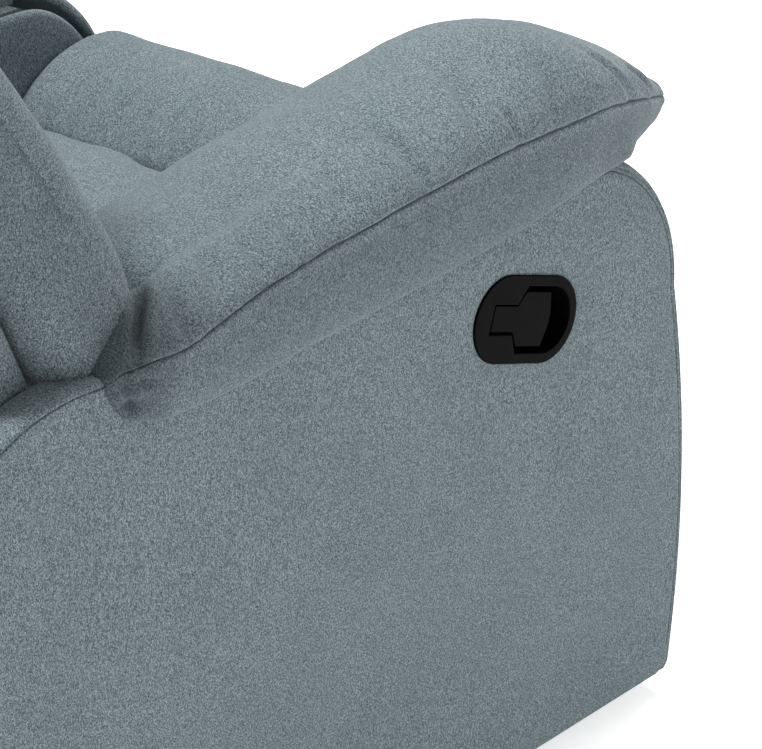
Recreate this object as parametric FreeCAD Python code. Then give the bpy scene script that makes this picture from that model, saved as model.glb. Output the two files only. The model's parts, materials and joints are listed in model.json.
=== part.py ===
"""Recliner armchair, closed and upright. Millimetres, +Z up, front towards -Y, sitter's right towards -X.

The origin is on the floor, midway between the foremost and the rearmost point and between the arms.
Each function makes one group of pieces and stores them in PARTS under the name of their node.
"""
import FreeCAD, Part
import os
from math import cos, radians, sin
from FreeCAD import Rotation, Vector

PARTS = {}
CLEAR = 0.5               # gap between soft parts and their neighbours
PIN_CLEARANCE = 0.05      # radial running clearance of every pin in its hole

# ---------------------------------------------------------------- driving dimensions
PANEL_X = 450.0           # outer face of the padded side panels
PANEL_THICK = 16.0        # padding and cover of a side panel
BOARD_THICK = 16.0        # plywood of the arm boxes
ARM_TOP_Z = 545.0         # top of the side panels, where the arm pillows lie
ARM_FRONT_Y = -455.0      # foot of the arm fronts
ARM_REAR_Y = 397.0        # rear edge of the side panels
HALF_DEPTH = 475.0        # foremost and rearmost point of the chair
INNER_X = 247.0           # inner face of the inner arm boards
INNER_REAR_Y = 135.0      # rear end of the inner arm boards
INNER_FRONT_Y = -395.0    # front end of the inner arm pads
PAD_FOOT_Z = 300.0        # lower edge of the inner arm pads, level with the front boards' tops
REAR_BOARD_Y = (371.0, 390.0)
REAR_BOARD_Z = (26.0, 460.0)
FLOOR_GAP = 24.0          # underside of the timber above the floor
PAD_THICK = 15.0          # padding of the arm fronts
INNER_PAD_THICK = 9.0     # padding of the inner arms
GLIDE_R = 20.0
BLOCK = 40.0              # width of the corner blocks
CORNER_RADIUS = 150.0     # upper rear corner of a side panel

PILLOW_X = (243.0, 472.0)
PILLOW_CREST = (-376.0, 664.0)    # highest line of the right-hand pillow, across the chair
PILLOW_TIP_Z = 562.0
PILLOW_REAR_Y = (143.0, 212.0)    # rear end in front of the wing, and outside it

HANDLE_Y, HANDLE_Z = -237.0, 441.0
HANDLE_LENGTH, HANDLE_HEIGHT = 132.0, 74.0
HANDLE_TILT = 18.0        # the front end of the handle is the lower one
HANDLE_HINGE_P = -42.0    # hinge of the pull tab, along the handle from its centre
HANDLE_HINGE_W = -7.0     # and outward from the panel's face
HANDLE_DEPTH = 34.0       # depth of the cup behind the panel's face
HANDLE_WALL = 3.0
RIM = 1.0                 # rounding of the handle's visible edges

PIVOT_Y, PIVOT_Z = 185.0, 330.0   # back hinge
BACK_LEAN = 22.0
BACK_TOP_T = 690.0        # top of the back frame, along the back from its hinge
BACK_REAR_N = 34.0        # outer face of the back, square to the back from its hinge
WIDE_T = 216.0            # the back is wider than the seat from here up
WIDE_X = 414.0
WING_X = 265.0            # inner face of the wings

SEAT_X = 234.0
SEAT_TOP_Z = 440.0
FRAME_Z = (335.0, 395.0)  # timber seat frame
PLATE_X = (228.0, 231.0)  # steel side plates of the seat
SPRING_X = (-150.0, -75.0, 0.0, 75.0, 150.0)
SPRING_WIRE_R = 1.9

LEGREST_BOARD_Y = (-400.0, -388.0)
LINK = 230.0              # pitch of both legrest links
LINK_WIDTH = 24.0
LOWER_PIVOT = (-225.0, 300.0)     # lower link on the side plate
LOWER_ANGLE = 1.7         # closed lower link, forward of straight down
UPPER_ANGLE = 141.5       # closed upper link, forward of straight down
PIN_R = 5.0
HEAD = 1.5                # thickness of a pin head
LOWER_X, UPPER_X, BRACKET_X = (222.0, 226.0), (216.0, 220.0), (210.0, 214.0)
TUBE_OFFSET = (90.0, -60.0)       # torque tube from the lower pivot
TUBE_R = 11.0
CRANK = 60.0

CABLE_R = 2.5
CABLE_BEND = 45.0


# ---------------------------------------------------------------- helpers
def keep(name, *shapes):
    """Store one node; several shapes become a group of separate solids."""
    PARTS[name] = shapes[0] if len(shapes) == 1 else Part.makeCompound(list(shapes))


def mirrored(shape):
    return shape.mirror(Vector(0, 0, 0), Vector(1, 0, 0))


def keep_pair(name, right_shape):
    """The right-hand piece is at -X; the left-hand piece is its mirror image."""
    keep(name + "_right", right_shape)
    keep(name + "_left", mirrored(right_shape))


def keep_both(name, right_shape):
    """Right-hand and left-hand piece as the two solids of one node."""
    keep(name, right_shape, mirrored(right_shape))


def box(x, y, z):
    return Part.makeBox(x[1] - x[0], y[1] - y[0], z[1] - z[0], Vector(x[0], y[0], z[0]))


def rod_x(radius, x, y, z):
    return Part.makeCylinder(radius, x[1] - x[0], Vector(x[0], y, z), Vector(1, 0, 0))


def side_profile(steps):
    """Closed face in the YZ plane; a step is (y, z) or a pair: the arc's middle point and its end."""
    def at(p):
        return Vector(0, p[0], p[1])
    edges, here = [], steps[0]
    for step in steps[1:] + [steps[0]]:
        if isinstance(step[0], tuple):
            edges.append(Part.Arc(at(here), at(step[0]), at(step[1])).toShape())
            here = step[1]
        else:
            edges.append(Part.LineSegment(at(here), at(step)).toShape())
            here = step
    return Part.Face(Part.Wire(edges))


def along_x(face, x):
    return face.translated(Vector(x[0], 0, 0)).extrude(Vector(x[1] - x[0], 0, 0))


def rounded(shape, radius, chosen=lambda edge: True):
    return shape.makeFillet(radius, [e for e in shape.Edges if chosen(e)])


def on_back(shape):
    """From the back's own axes (x, n rearward, t up the back) to the chair's."""
    turned = shape.rotated(Vector(0, 0, 0), Vector(1, 0, 0), -BACK_LEAN)
    return turned.translated(Vector(0, PIVOT_Y, PIVOT_Z))


def back_box(x, n, t, radius=0.0):
    shape = box(x, n, t)
    return on_back(rounded(shape, radius) if radius else shape)


def on_handle(shape):
    """From the handle's axes (p towards its front end, q up, w outward) to the right-hand panel."""
    a = radians(HANDLE_TILT)
    p, q, w = Vector(0, -cos(a), -sin(a)), Vector(0, -sin(a), cos(a)), Vector(-1, 0, 0)
    m = FreeCAD.Matrix(
        p.x, q.x, w.x, -PANEL_X,
        p.y, q.y, w.y, HANDLE_Y,
        p.z, q.z, w.z, HANDLE_Z,
        0, 0, 0, 1)
    moved = shape.copy()
    moved.Placement = FreeCAD.Placement(m)
    return moved


def stadium(length, height, w):
    """Slot-shaped block of the given ends in w, centred on the handle."""
    run = (length - height) / 2
    block = Part.makeBox(2 * run, height, w[1] - w[0], Vector(-run, -height / 2, w[0]))
    for side in (-run, run):
        block = block.fuse(Part.makeCylinder(height / 2, w[1] - w[0], Vector(side, 0, w[0])))
    return block.removeSplitter()


def outline_xy(points, z):
    """Prism of a polygon in the XY plane between two heights."""
    wire = Part.makePolygon([Vector(x, y, z[0]) for x, y in points + points[:1]])
    return Part.Face(wire).extrude(Vector(0, 0, z[1] - z[0]))


def toward(angle, length, start):
    """Point at a distance from start, the angle counted from straight down towards the front."""
    a = radians(angle)
    return (start[0] - length * sin(a), start[1] - length * cos(a))


def link_bar(x, start, end, holes, width=LINK_WIDTH):
    """Flat steel link with round ends and running holes at the given points."""
    run = Vector(0, end[0] - start[0], end[1] - start[1])
    across = Vector(0, -run.z, run.y).normalize().multiply(width / 2)
    s, e = Vector(x[0], *start), Vector(x[0], *end)
    face = Part.Face(Part.makePolygon([s + across, e + across, e - across, s - across, s + across]))
    bar = face.extrude(Vector(x[1] - x[0], 0, 0))
    for y, z in (start, end):
        bar = bar.fuse(rod_x(width / 2, x, y, z))
    bar = bar.removeSplitter()
    for y, z in holes:
        bar = bar.cut(rod_x(PIN_R + PIN_CLEARANCE, (x[0] - 1, x[1] + 1), y, z))
    return bar


def headed_pin(x, y, z, head_at):
    """Pivot pin along X with a flat head at one end."""
    pin = rod_x(PIN_R, x, y, z)
    head = (head_at, head_at + HEAD)
    return pin.fuse(rod_x(PIN_R + 3.0, head, y, z)).removeSplitter()


def bent_tube(points, radius, bend):
    """Round tube along straight runs joined by tangent arcs."""
    edges, here = [], points[0]
    for corner, after in zip(points[1:-1], points[2:]):
        a, b = corner.sub(here).normalize(), after.sub(corner).normalize()
        half = a.getAngle(b) / 2
        cut = bend * sin(half) / cos(half)
        start, end = corner - a * cut, corner + b * cut
        middle = (b - a).normalize()
        centre = corner + middle * (bend / cos(half))
        edges.append(Part.LineSegment(here, start).toShape())
        edges.append(Part.Arc(start, centre - middle * bend, end).toShape())
        here = end
    edges.append(Part.LineSegment(here, points[-1]).toShape())
    path = Part.Wire(edges)
    profile = Part.Wire(Part.makeCircle(radius, points[0], points[1].sub(points[0])))
    print("tube length %.0f" % path.Length)
    return path.makePipeShell([profile], True, True)


# ---------------------------------------------------------------- arm boxes and base
def panel_outline(inset=0.0):
    """Side view of an arm: arched foot, bowed front that curves back at the top, round rear corner."""
    top, rear, foot = ARM_TOP_Z - inset, ARM_REAR_Y - inset, FLOOR_GAP - 4.0 + inset
    front = ARM_FRONT_Y + inset
    bow = (front - 6.0, 225.0)
    shoulder = (front + 15.0, 405.0)
    turn = ((front + 50.0, 488.0 - inset * 0.5), (front + 115.0, top))
    centre = (ARM_REAR_Y - CORNER_RADIUS, ARM_TOP_Z - CORNER_RADIUS)
    r = CORNER_RADIUS - inset
    quarter = r * cos(radians(45))
    return side_profile([
        (front + 14.0, foot), ((front + 5.0, foot + 4.0), (front + 2.0, foot + 14.0)),
        (bow, shoulder), turn, (centre[0], top),
        ((centre[0] + quarter, centre[1] + quarter), (rear, centre[1])),
        (rear, foot + 12.0), ((rear - 3.5, foot + 3.5), (rear - 12.0, foot)),
        (rear - 60.0, foot), (rear - 100.0, foot + 12.0), (front + 90.0, foot + 12.0), (front + 50.0, foot)])


def make_arms():
    handle_hole = on_handle(stadium(HANDLE_LENGTH - 6, HANDLE_HEIGHT - 6, (-60.0, 20.0)))
    outer = (-PANEL_X, -PANEL_X + PANEL_THICK)
    board = (outer[1], outer[1] + BOARD_THICK)
    inner = (-INNER_X - BOARD_THICK + 1.0, -INNER_X)
    panel = along_x(panel_outline(), outer)
    plywood = along_x(panel_outline(6.0), board)
    keep("side_panel_right", panel.cut(handle_hole))
    keep("side_panel_left", mirrored(panel))
    keep("outer_arm_board_right", plywood.cut(handle_hole))
    keep("outer_arm_board_left", mirrored(plywood))

    bay = (board[1], inner[1])
    behind_pad = along_x(panel_outline(PAD_THICK + 1.5), inner)
    inner_top = ARM_TOP_Z - CLEAR
    inner_board = behind_pad.common(box(inner, (-HALF_DEPTH, INNER_REAR_Y), (FLOOR_GAP, inner_top)))
    cable_hole = rod_x(CABLE_R + 1.5, (inner[0] - 1, inner[1] + 1), CABLE_ENTRY.y, CABLE_ENTRY.z)
    keep("inner_arm_boards", inner_board.cut(cable_hole), mirrored(inner_board))
    top_y = (-330.0, INNER_REAR_Y)
    keep_both("arm_top_boards", box((bay[0], inner[0]), top_y, (inner_top - BOARD_THICK, inner_top)))
    front_board = box((bay[0], inner[0]), (-436.0, -422.0), (FLOOR_GAP, PAD_FOOT_Z))
    keep_both("arm_front_boards", front_board)
    shell = along_x(panel_outline(1.0), bay).cut(along_x(panel_outline(PAD_THICK + 1.0), bay))
    front_pad = shell.common(box(bay, (-HALF_DEPTH, top_y[0] - 1.0), (FLOOR_GAP, ARM_TOP_Z)))
    keep_both("arm_front_pads", front_pad.cut(box(bay, (-437.5, 0.0), (0.0, PAD_FOOT_Z))))
    pad_x = (-INNER_X, -INNER_X + INNER_PAD_THICK)
    pad_y = (INNER_FRONT_Y, INNER_REAR_Y)
    inner_pad = along_x(panel_outline(PAD_THICK + 3.0), pad_x)
    keep_both("inner_arm_pads", inner_pad.common(box(pad_x, pad_y, (PAD_FOOT_Z, inner_top - 1.0))))

    blocks, glides = [], []
    for y in (-421.0, 284.0):
        for x in (bay[0], -bay[0] - BLOCK):
            blocks.append(box((x, x + BLOCK), (y, y + 60.0), (FLOOR_GAP, FLOOR_GAP + 70.0)))
            centre = (x + BLOCK / 2, y + 30.0)
            foot = Part.makeCylinder(GLIDE_R, 8.0, Vector(*centre, 0.0))
            stem = Part.makeCylinder(12.0, FLOOR_GAP - 8.0, Vector(*centre, 8.0))
            glides.append(foot.fuse(stem).removeSplitter())
    keep("corner_blocks", *blocks)
    keep("foot_glides", *glides)

    keep("front_rail", box((-INNER_X, INNER_X), (-385.0, -345.0), (26.0, 60.0)))
    rear_z = (REAR_BOARD_Z[0], REAR_BOARD_Z[0] + BLOCK)
    keep("rear_rail", box((bay[0], -bay[0]), (REAR_BOARD_Y[0] - 26.0, REAR_BOARD_Y[0]), rear_z))
    keep("rear_apron", box((bay[0], -bay[0]), REAR_BOARD_Y, REAR_BOARD_Z))
    rail_y = (-340.0, INNER_REAR_Y)
    web = box((-INNER_X, -INNER_X + 3.0), rail_y, (90.0, 130.0))
    keep_both("mechanism_rails", web.fuse(box((-INNER_X, -232.0), rail_y, (127.0, 130.0))).removeSplitter())
    screws = [rod_x(6.0, (-INNER_X + 3.0, -240.0), y, 108.0) for y in (-300.0, -60.0, 110.0)]
    keep("rail_screws", *screws, *[mirrored(screw) for screw in screws])


def arm_pillow():
    """Overstuffed arm pillow: domed from end to end and across, tapering to a point at the front."""
    low = ARM_TOP_Z + CLEAR
    x_out, x_in = -PILLOW_X[1], -PILLOW_X[0]
    crest_x, crest_z = PILLOW_CREST
    inner_rear, outer_rear = PILLOW_REAR_Y
    side = side_profile([
        (-345.0, low), ((-405.0, 553.0), (-HALF_DEPTH, PILLOW_TIP_Z)),
        ((-340.0, 640.0), (-170.0, crest_z)), ((50.0, 648.0), (outer_rear, 586.0)), (outer_rear, low)])
    length = along_x(side, (x_out, x_in))

    def across(x, z):
        return Vector(x, 0, z)
    dome = Part.Wire([
        Part.LineSegment(across(x_in, low), across(x_out, low)).toShape(),
        Part.LineSegment(across(x_out, low), across(x_out, 598.0)).toShape(),
        Part.Arc(across(x_out, 598.0), across(-440.0, 645.0), across(crest_x, crest_z)).toShape(),
        Part.Arc(across(crest_x, crest_z), across(-300.0, 637.0), across(x_in, 588.0)).toShape(),
        Part.LineSegment(across(x_in, 588.0), across(x_in, low)).toShape()])
    crown = Part.Face(dome).extrude(Vector(0, 2 * HALF_DEPTH, 0)).translated(Vector(0, -HALF_DEPTH, 0))

    def flat(x, y):
        return Vector(x, y, 0)
    tip = flat(-395.0, -HALF_DEPTH)
    beside_wing = -WIDE_X - 6.0
    plan = Part.Wire([
        Part.LineSegment(flat(x_out, outer_rear), flat(x_out, -260)).toShape(),
        Part.Arc(flat(x_out, -260), flat(-456, -395), tip).toShape(),
        Part.Arc(tip, flat(-290, -400), flat(x_in, -260)).toShape(),
        Part.LineSegment(flat(x_in, -260), flat(x_in, inner_rear)).toShape(),
        Part.LineSegment(flat(x_in, inner_rear), flat(beside_wing, inner_rear)).toShape(),
        Part.LineSegment(flat(beside_wing, inner_rear), flat(beside_wing, outer_rear)).toShape(),
        Part.LineSegment(flat(beside_wing, outer_rear), flat(x_out, outer_rear)).toShape()])
    return length.common(crown).common(Part.Face(plan).extrude(Vector(0, 0, 2 * ARM_TOP_Z)))


# ---------------------------------------------------------------- release handle, cable and latch
HANDLE_BACK_X = -PANEL_X + HANDLE_DEPTH
CABLE_ENTRY = Vector(-INNER_X - 20.0, -150.0, 158.0)
LATCH_Y, LATCH_Z = -150.0, 150.0


def hinge_rod(radius, half_length):
    """Rod on the axis of the pull tab, across the handle."""
    start = Vector(HANDLE_HINGE_P, -half_length, HANDLE_HINGE_W)
    return Part.makeCylinder(radius, 2 * half_length, start, Vector(0, 1, 0))


def make_handle():
    """Cup with a face plate, and a T-shaped pull tab: stem in a slot, head over the finger space."""
    face, floor = HANDLE_WALL, HANDLE_WALL - HANDLE_DEPTH
    plate_back = -2.5
    half_stem, half_head, gap = 11.0, 23.0, 1.5
    flange = stadium(HANDLE_LENGTH, HANDLE_HEIGHT, (0.0, face))
    cup = stadium(HANDLE_LENGTH - 8, HANDLE_HEIGHT - 8, (-HANDLE_DEPTH, 0.0))
    hollow_size = (HANDLE_LENGTH - 18, HANDLE_HEIGHT - 18)
    half_hollow = hollow_size[1] / 2
    stem_end = HANDLE_HINGE_P - 3.6
    mouth = outline_xy([
        (-15.5, half_stem + gap), (-6.5, half_hollow), (70.0, half_hollow),
        (70.0, -half_hollow), (-6.5, -half_hollow), (-15.5, -half_stem - gap)], (floor, 2 * face))
    mouth = mouth.common(stadium(*hollow_size, (floor, 2 * face)))
    slot = box((stem_end, -15.0), (-half_stem - gap, half_stem + gap), (floor, 2 * face))
    hollow = stadium(*hollow_size, (floor, plate_back))
    bezel = flange.fuse(cup).removeSplitter().cut(hollow).cut(mouth.fuse(slot).removeSplitter())
    bezel = rounded(bezel, RIM, lambda e: e.BoundBox.ZMin > face - 0.01)
    cable_way = box((-12.0, -2.0), (-4.0, 4.0), (-HANDLE_DEPTH - 4.0, floor + 1.0))
    keep("handle_bezel", on_handle(bezel.cut(cable_way).cut(hinge_rod(2.0, 28.0))))

    tab_top = 1.0
    upper = [
        (HANDLE_HINGE_P, half_stem), (-13.0, half_stem), (-5.0, half_head), (28.0, half_head), (33.0, 5.0)]
    outline = upper + [(p, -q) for p, q in reversed(upper)]
    paddle = outline_xy(outline, (-4.5, tab_top))
    paddle = rounded(paddle, 0.8, lambda e: e.BoundBox.ZMin > tab_top - 0.01)
    barrel = hinge_rod(4.0, half_stem)
    lever = box((-10.0, -5.0), (-3.0, 3.0), (-27.0, -4.0))
    tab = paddle.fuse(barrel).fuse(lever).removeSplitter().cut(hinge_rod(2.0 + PIN_CLEARANCE, 35.0))
    keep("handle_tab", on_handle(tab))
    keep("handle_pin", on_handle(hinge_rod(2.0, 28.0)))
    leaf = box((-30.0, -16.0), (-5.0, 5.0), (floor, floor + 1.0))
    blade = box((-17.0, -16.0), (-5.0, 5.0), (floor + 1.0, -12.0))
    keep("handle_spring", on_handle(leaf.fuse(blade).removeSplitter()))
    screw_p = hollow_size[0] / 2 - 5.0
    screws = [Part.makeCylinder(3.0, 2.0, Vector(p, 0.0, floor)) for p in (-screw_p, screw_p)]
    keep("bezel_screws", *[on_handle(screw) for screw in screws])

    corner_high = Vector(-345.0, HANDLE_Y + 8.0, HANDLE_Z)
    corner_low = Vector(-345.0, CABLE_ENTRY.y, CABLE_ENTRY.z)
    start = Vector(HANDLE_BACK_X + 11.0, HANDLE_Y + 8.0, HANDLE_Z)
    end = Vector(-INNER_X + 1.0, CABLE_ENTRY.y, CABLE_ENTRY.z)
    keep("release_cable", bent_tube([start, corner_high, corner_low, end], CABLE_R, CABLE_BEND))
    high = rod_x(5.0, (HANDLE_BACK_X, start.x), start.y, start.z)
    low = rod_x(3.8, (end.x, end.x + 5.0), end.y, end.z)
    keep("cable_ferrules", high, low)


def make_latch():
    """Pawl beside the right-hand seat plate, just under the striker pin that it holds."""
    x = (-239.0, -235.0)
    outline = side_profile([
        (LATCH_Y + 10.0, 138.0), (LATCH_Y + 52.0, 138.0), (LATCH_Y + 58.0, 156.0), (LATCH_Y + 48.0, 156.0),
        (LATCH_Y + 44.0, 148.0), (LATCH_Y + 22.0, 150.0), ((LATCH_Y + 14.0, 157.0), (LATCH_Y + 6.0, 150.0))])
    centre = (LATCH_Y + 16.0, 146.0)
    pawl = along_x(outline, x).cut(rod_x(3.0 + PIN_CLEARANCE, (x[0] - 1, x[1] + 1), *centre))
    keep("latch_pawl", pawl)
    post = box((-INNER_X, -241.0), (centre[0] - 9.0, centre[0] + 9.0), (130.0, 156.0))
    keep("latch_post", post.fuse(rod_x(3.0, (-241.0, -233.5), *centre)).removeSplitter())


# ---------------------------------------------------------------- seat
def make_seat():
    plate_face = side_profile([
        (-330.0, 380.0), (-330.0, 300.0), (-250.0, 240.0), (-250.0, 150.0), (-320.0, 150.0), (-320.0, 131.0),
        (160.0, 131.0), (160.0, 200.0), (210.0, 300.0), (210.0, 345.0), (160.0, 380.0)])
    plates, shoes, strikers = [], [], []
    tube_at = torque_tube_centre()
    for side in (-1, 1):
        x = sorted((side * PLATE_X[0], side * PLATE_X[1]))
        plate = along_x(plate_face, x)
        wide = (x[0] - 1, x[1] + 1)
        plate = plate.cut(rod_x(TUBE_R + PIN_CLEARANCE, wide, *tube_at))
        plate = plate.cut(rod_x(PIN_R, wide, *LOWER_PIVOT)).cut(rod_x(PIN_R, wide, PIVOT_Y, PIVOT_Z))
        plates.append(plate)
        shoe_x = sorted((side * PLATE_X[1], side * 241.0))
        for y in (-310.0, 90.0):
            shoes.append(box(shoe_x, (y, y + 40.0), (130.0 + CLEAR, 145.0)))
        if side < 0:
            strikers.append(rod_x(4.0, (-240.0, -PLATE_X[1]), -100.0, 168.0))
    keep("seat_plates", *plates)
    keep("glide_shoes", *shoes)
    keep("latch_striker", *strikers)

    rail_x = (PLATE_X[0] - 32.0, PLATE_X[0])
    keep_both("seat_side_rails", box((-rail_x[1], -rail_x[0]), (-372.0, 130.0), FRAME_Z))
    cross = (-rail_x[0], rail_x[0])
    keep("seat_cross_rails", *[box(cross, y, FRAME_Z) for y in ((-372.0, -347.0), (105.0, 130.0))])

    wire_z = FRAME_Z[1] + 3.0
    keep("seat_springs", *[sinuous_spring(x, -356.0, 118.0, wire_z) for x in SPRING_X])

    cushion = side_profile([
        (-298.0, 402.0), (126.0, 402.0), (126.0, 410.0), (80.0, 430.0), ((73.0, 437.0), (60.0, SEAT_TOP_Z)),
        (-290.0, SEAT_TOP_Z), ((-296.0, 438.0), (-298.0, 432.0))])
    keep("seat_cushion", along_x(cushion, (-SEAT_X, SEAT_X)))
    roll = side_profile([
        (-299.0, 403.0), (-299.0, 432.0), ((-350.0, 474.0), (-415.0, 486.0)),
        ((-458.0, 466.0), (-464.0, 425.0)), (-450.0, 403.0)])
    keep("seat_front_roll", along_x(roll, (-SEAT_X, SEAT_X)))

    leg_pins, back_pins = [], []
    for side in (-1, 1):
        x = sorted((side * (LOWER_X[0] - 0.5), side * PLATE_X[1]))
        leg_pins.append(headed_pin(x, *LOWER_PIVOT, min_head(side, PLATE_X[1])))
        back_pins.append(headed_pin(x, PIVOT_Y, PIVOT_Z, min_head(side, PLATE_X[1])))
    keep("leg_pivot_pins", *leg_pins)
    keep("back_pivot_pins", *back_pins)


def min_head(side, x):
    """Lowest X of a pin head that starts at distance x from the middle and goes outward."""
    return -x - HEAD if side < 0 else x


def sinuous_spring(x, y0, y1, z):
    """Zigzag seat spring: cross runs joined by half-round bends, all in one plane."""
    half, count = 16.0, 18
    pitch = (y1 - y0) / count
    bend = pitch / 2
    edges = []
    side = 1
    for i in range(count):
        y = y0 + i * pitch
        a, b = Vector(x - side * half, y, z), Vector(x + side * half, y, z)
        edges.append(Part.LineSegment(a, b).toShape())
        outer = Vector(x + side * (half + bend), y + bend, z)
        edges.append(Part.Arc(b, outer, Vector(x + side * half, y + pitch, z)).toShape())
        side = -side
    last = y0 + count * pitch
    a, b = Vector(x - side * half, last, z), Vector(x + side * half, last, z)
    edges.append(Part.LineSegment(a, b).toShape())
    path = Part.Wire(edges)
    start = edges[0].Vertexes[0].Point
    profile = Part.Wire(Part.makeCircle(SPRING_WIRE_R, start, Vector(1, 0, 0)))
    return path.makePipeShell([profile], True, True)


# ---------------------------------------------------------------- legrest
def torque_tube_centre():
    return (LOWER_PIVOT[0] + TUBE_OFFSET[0], LOWER_PIVOT[1] + TUBE_OFFSET[1])


def make_legrest():
    knee = toward(LOWER_ANGLE, LINK, LOWER_PIVOT)
    toe = toward(UPPER_ANGLE, LINK, knee)
    drive = toward(LOWER_ANGLE, CRANK, LOWER_PIVOT)
    tube_at = torque_tube_centre()
    crank_end = toward(LOWER_ANGLE, CRANK, tube_at)
    lower, upper, rods, knees, toes, drives, cranks, brackets = [], [], [], [], [], [], [], []
    for side in (-1, 1):
        def span(pair):
            return sorted((side * pair[0], side * pair[1]))
        lower.append(link_bar(span(LOWER_X), LOWER_PIVOT, knee, [LOWER_PIVOT, knee, drive]))
        upper.append(link_bar(span(UPPER_X), knee, toe, [knee, toe]))
        rods.append(link_bar(span(UPPER_X), drive, crank_end, [drive, crank_end], 18.0))
        knees.append(headed_pin(span((UPPER_X[0] - 0.5, LOWER_X[1])), *knee, min_head(side, LOWER_X[1])))
        drives.append(headed_pin(span((UPPER_X[0] - 0.5, LOWER_X[1])), *drive, min_head(side, LOWER_X[1])))
        toes.append(headed_pin(span((BRACKET_X[0] - 0.5, UPPER_X[1])), *toe, min_head(side, UPPER_X[1])))
        cranks.append(link_bar(span(BRACKET_X), tube_at, crank_end, [], 22.0))
        cranks.append(rod_x(PIN_R, span((BRACKET_X[1], UPPER_X[1])), *crank_end))
        low, high = span(BRACKET_X)
        tall = (toe[1] - 70.0, toe[1] + 70.0)
        ear = box((low, high), (LEGREST_BOARD_Y[1], toe[0] + 12.0), tall)
        ear = ear.cut(rod_x(PIN_R + PIN_CLEARANCE, (low - 1, high + 1), *toe))
        foot_y = (LEGREST_BOARD_Y[1], LEGREST_BOARD_Y[1] + 3.0)
        foot = box(span((BRACKET_X[0] - 26.0, BRACKET_X[1])), foot_y, tall)
        brackets.append(ear.fuse(foot).removeSplitter())
    keep("lower_leg_links", *lower)
    keep("upper_leg_links", *upper)
    keep("legrest_brackets", *brackets)
    keep("drive_rods", *rods)
    keep("knee_pins", *knees)
    keep("drive_pins", *drives)
    keep("toe_pins", *toes)
    tube = rod_x(TUBE_R, (-PLATE_X[1], PLATE_X[1]), *tube_at)
    for crank in cranks:
        tube = tube.fuse(crank)
    keep("torque_tube", tube.removeSplitter())

    keep("legrest_board", box((-221.0, 221.0), LEGREST_BOARD_Y, (78.0, 374.0)))
    pad = box((-230.0, 230.0), (-462.0, LEGREST_BOARD_Y[0]), (62.0, 385.0))
    keep("legrest_pad", rounded(pad, 24.0, lambda e: e.CenterOfMass.y < -440.0))


# ---------------------------------------------------------------- back
def make_back():
    post_x, post_n = (-222.0, -190.0), (-12.0, 16.0)
    keep_both("back_posts", back_box(post_x, post_n, (28.0, BACK_TOP_T - 20.0)))
    x = (-LOWER_X[1], -LOWER_X[0])
    blade = box(x, (-12.0, 12.0), (-16.0, 200.0))
    blade = blade.cut(rod_x(PIN_R + PIN_CLEARANCE, (x[0] - 1, x[1] + 1), 0, 0))
    keep_both("back_brackets", on_back(blade))
    inside = (post_x[1], -post_x[1])
    feet = (28.0, BACK_TOP_T - 70.0)
    keep("back_cross_rails", *[back_box(inside, post_n, (t, t + 50.0)) for t in feet])
    strips = [back_box((-222.0, 222.0), (-14.0, -12.0), (t, t + 50.0)) for t in range(110, 600, 85)]
    keep("back_webbing", *strips)
    board_t = (WIDE_T + 6.0, BACK_TOP_T - 25.0)
    keep_both("wing_boards", back_box((-WIDE_X + 22.0, -226.0), (0.0, 15.0), board_t))

    front = -136.0
    rear = -14.0 - CLEAR
    keep("lumbar_cushion", back_box((-232.0, 232.0), (front, rear), (62.0, 243.0), 26.0))
    keep("middle_cushion", back_box((-258.0, 258.0), (front + 4.0, rear), (245.0, 443.0), 26.0))
    keep("head_cushion", back_box((-258.0, 258.0), (front - 4.0, rear), (445.0, 690.0), 30.0))

    wing = box((-WIDE_X, -WING_X), (-112.0, -18.0), (192.0, 640.0))
    wing = rounded(wing, 22.0)
    keep_pair("back_wing", on_back(wing))
    band = box((-WIDE_X, -WIDE_X + 20.0), (-16.0, 16.0), (WIDE_T, BACK_TOP_T))
    keep_both("back_side_bands", on_back(band))
    wide = box((-WIDE_X, WIDE_X), (16.0 + CLEAR, BACK_REAR_N), (WIDE_T, BACK_TOP_T))
    narrow = box((-222.0, 222.0), (16.0 + CLEAR, BACK_REAR_N), (-150.0, WIDE_T))
    keep("outside_back_panel", on_back(wide.fuse(narrow).removeSplitter()))


def main():
    make_arms()
    keep_pair("arm_pillow", arm_pillow())
    make_handle()
    make_latch()
    make_seat()
    make_legrest()
    make_back()
    os.makedirs("parts", exist_ok=True)
    for old in os.listdir("parts"):
        os.remove(os.path.join("parts", old))
    for name, shape in PARTS.items():
        if not shape.isValid():
            print("invalid:", name)
        shape.exportStep(os.path.join("parts", name + ".step"))
    low = [min(getattr(s.BoundBox, k) for s in PARTS.values()) for k in ("XMin", "YMin", "ZMin")]
    high = [max(getattr(s.BoundBox, k) for s in PARTS.values()) for k in ("XMax", "YMax", "ZMax")]
    print(len(PARTS), "nodes, box", [round(v, 1) for v in low], [round(v, 1) for v in high])


main()
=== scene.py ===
import json
from math import cos, pi, radians, sin

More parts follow.
